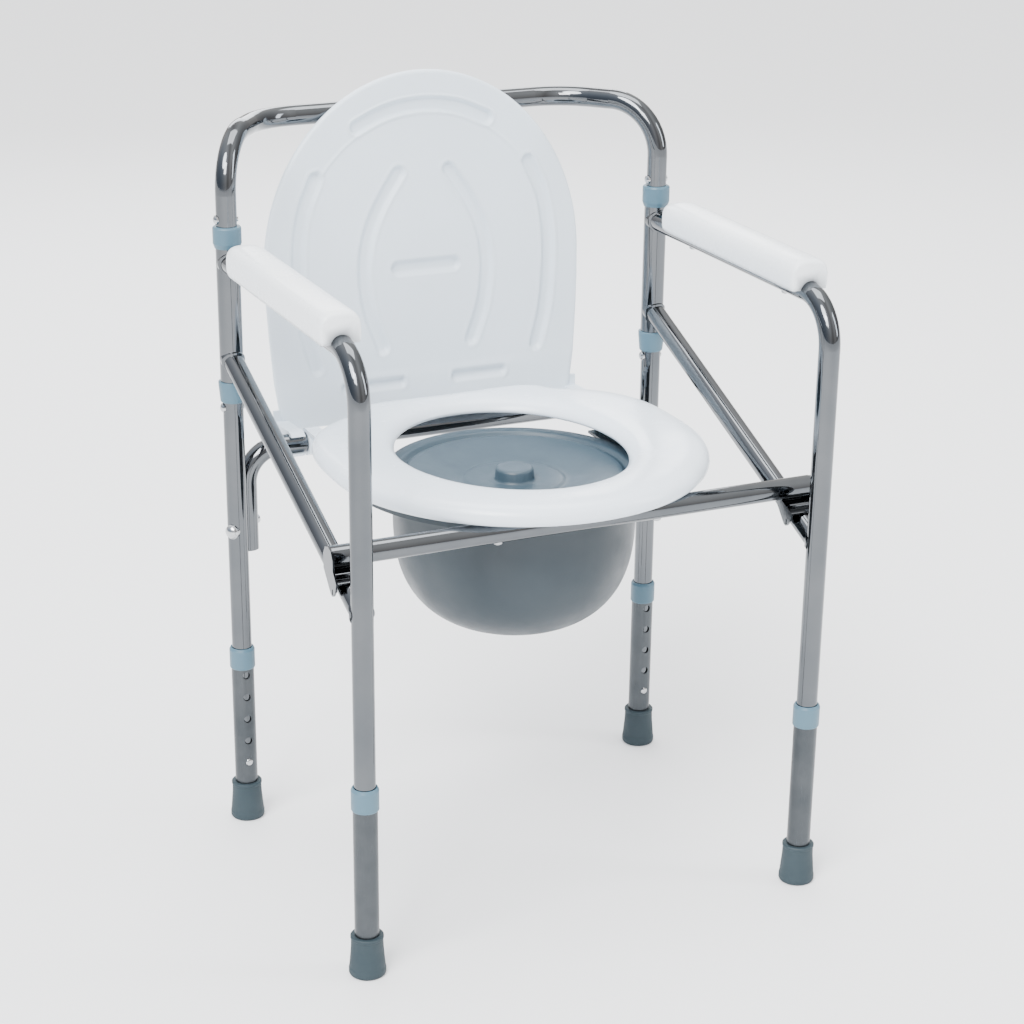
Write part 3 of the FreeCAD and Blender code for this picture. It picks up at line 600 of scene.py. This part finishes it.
def add_pail_lid(materials):
    """Dished lid with a groove inside its rim and a round knob."""
    plug = NECK_R - PAIL_WALL - 0.5
    rest = RIM_Z + 0.3
    outline = [
        (0, 429.5), (60, 429.5), (112, 434), (plug - 3, 435.5), (plug, 437), (plug, rest), (139.2, rest),
        (139.5, 442.5), (139.2, 444.4), (138.2, 445.4), (136.5, 445.8), (126.5, 445.8), (124.2, 445.4),
        (122.8, 444.2), (121.0, 441.2), (119.6, 440.5), (118.2, 440.6), (116.8, 442.2), (115.4, 444.0),
        (113.2, 444.5), (109, 443.8), (62, 434.8), (56, 434.0), (54, 434.4), (52, 435.2), (49, 435.6),
        (30, 434.4), (22.4, 433.8), (21.4, 434.6), (20.8, 437), (20.2, 444.4), (19.4, 446.2), (17.6, 447.0),
        (12, 446.6), (0, 446.2),
    ]
    lathe("pail_lid_moulding", outline, 0, PAIL_Y, "pail_lid", "pail_lid_blue", "pail_lid", materials)


# ---- camera, lights and floor ----------------------------------------------

CAMERA_PLACE = (-1.0132, -2.2434, 1.2906)
CAMERA_TURN = -23.76
CAMERA_DOWN = 23.07
CAMERA_ROLL = 0.31
CAMERA_LENS = 85.1
CAMERA_SHIFT = (0.0318, 0.1184)
LIGHT_TARGET = (0.0, 0.0, 0.45)
SUN_DIRECTION = (1.25, 0.85, -1.7)
SUN_STRENGTH = 3.8
SUN_SOFTNESS = 30
BAND_STRENGTH = 0.75
SKY_STRENGTH = 1.6
FLOOR_HALF = 20.0


def place_camera():
    data = bpy.data.cameras.new("camera")
    data.lens = CAMERA_LENS
    data.sensor_width = 36.0
    data.shift_x, data.shift_y = CAMERA_SHIFT
    camera = bpy.data.objects.new("camera", data)
    bpy.context.scene.collection.objects.link(camera)
    turn = Matrix.Rotation(math.radians(CAMERA_TURN), 4, "Z")
    tilt = Matrix.Rotation(math.radians(90 - CAMERA_DOWN), 4, "X")
    roll = Matrix.Rotation(math.radians(CAMERA_ROLL), 4, "Z")
    camera.matrix_world = Matrix.Translation(CAMERA_PLACE) @ turn @ tilt @ roll
    bpy.context.scene.camera = camera


def area_light(name, place, size, power, colour):
    data = bpy.data.lights.new(name, "AREA")
    data.shape = "RECTANGLE"
    data.size = size[0]
    data.size_y = size[1]
    data.energy = power
    data.color = colour
    light = bpy.data.objects.new(name, data)
    aim = Vector(LIGHT_TARGET) - Vector(place)
    light.matrix_world = Matrix.Translation(place) @ aim.to_track_quat("-Z", "Y").to_matrix().to_4x4()
    bpy.context.scene.collection.objects.link(light)


def sun_light():
    sun = bpy.data.lights.new("sun", "SUN")
    sun.energy = SUN_STRENGTH
    sun.angle = math.radians(SUN_SOFTNESS)
    light = bpy.data.objects.new("sun", sun)
    light.matrix_world = Vector(SUN_DIRECTION).to_track_quat("-Z", "Y").to_matrix().to_4x4()
    bpy.context.scene.collection.objects.link(light)


def sky_ramp(tree, factor, stops):
    """Colour of the studio that runs through these stops."""
    node = tree.nodes.new("ShaderNodeValToRGB")
    first, last = node.color_ramp.elements
    first.position, first.color = stops[0]
    last.position, last.color = stops[-1]
    for position, colour in stops[1:-1]:
        stop = node.color_ramp.elements.new(position)
        stop.color = colour
    tree.links.new(factor, node.inputs["Fac"])
    return node.outputs["Color"]


def studio_world():
    """Bright above, paler at the horizon, with soft bands from left to right."""
    world = bpy.data.worlds.new("studio")
    world.use_nodes = True
    tree = world.node_tree
    background = tree.nodes["Background"]
    place = tree.nodes.new("ShaderNodeTexCoord")
    split = tree.nodes.new("ShaderNodeSeparateXYZ")
    tree.links.new(place.outputs["Generated"], split.inputs["Vector"])
    height = sky_ramp(tree, split.outputs["Z"], [
        (0.0, (0.66, 0.65, 0.65, 1)), (0.12, (0.70, 0.68, 0.67, 1)), (0.75, (1.25, 1.25, 1.25, 1)),
    ])
    shifted = tree.nodes.new("ShaderNodeMath")
    shifted.operation = "MULTIPLY_ADD"
    shifted.inputs[1].default_value = 0.5
    shifted.inputs[2].default_value = 0.5
    tree.links.new(split.outputs["X"], shifted.inputs[0])
    across = sky_ramp(tree, shifted.outputs["Value"], [
        (0.0, (0.16, 0.26, 0.40, 1)), (0.35, (1.0, 1.0, 1.02, 1)), (0.55, (0.35, 0.33, 0.32, 1)),
        (0.75, (1.0, 0.98, 0.96, 1)), (1.0, (0.30, 0.30, 0.31, 1)),
    ])
    mix = tree.nodes.new("ShaderNodeMix")
    mix.data_type = "RGBA"
    mix.blend_type = "MULTIPLY"
    mix.inputs["Factor"].default_value = BAND_STRENGTH
    colour_a, colour_b = [socket for socket in mix.inputs if socket.type == "RGBA"]
    tree.links.new(height, colour_a)
    tree.links.new(across, colour_b)
    mixed = [socket for socket in mix.outputs if socket.type == "RGBA"][0]
    tree.links.new(mixed, background.inputs["Color"])
    background.inputs["Strength"].default_value = SKY_STRENGTH
    bpy.context.scene.world = world


def light_scene():
    area_light("key", (-1.8, -2.6, 3.0), (1.4, 1.4), 110, (1.0, 0.98, 0.96))
    area_light("fill", (2.8, -1.6, 1.8), (0.7, 2.0), 45, (0.92, 0.96, 1.0))
    area_light("top", (0.2, 0.4, 3.4), (2.2, 1.6), 80, (1.0, 1.0, 1.0))
    area_light("back", (0.8, 3.0, 2.0), (2.4, 1.2), 60, (0.95, 0.97, 1.0))
    sun_light()
    studio_world()


def lay_floor():
    mesh = bpy.data.meshes.new("floor")
    corners = [
        (-FLOOR_HALF, -FLOOR_HALF, 0), (FLOOR_HALF, -FLOOR_HALF, 0),
        (FLOOR_HALF, FLOOR_HALF, 0), (-FLOOR_HALF, FLOOR_HALF, 0),
    ]
    mesh.from_pydata(corners, [], [(0, 1, 2, 3)])
    floor = bpy.data.objects.new("floor", mesh)
    bpy.context.scene.collection.objects.link(floor)
    material, _, shader, _ = new_material("floor_paint")
    shader.inputs["Base Color"].default_value = (0.90, 0.91, 0.92, 1)
    shader.inputs["Roughness"].default_value = 0.85
    mesh.materials.append(material)


materials = build_materials()
paint_cad(materials)
add_seat(materials)
add_lid(materials)
for side in SIDES:
    add_pad(side, materials)
add_pail(materials)
add_pail_lid(materials)
place_camera()
light_scene()
lay_floor()
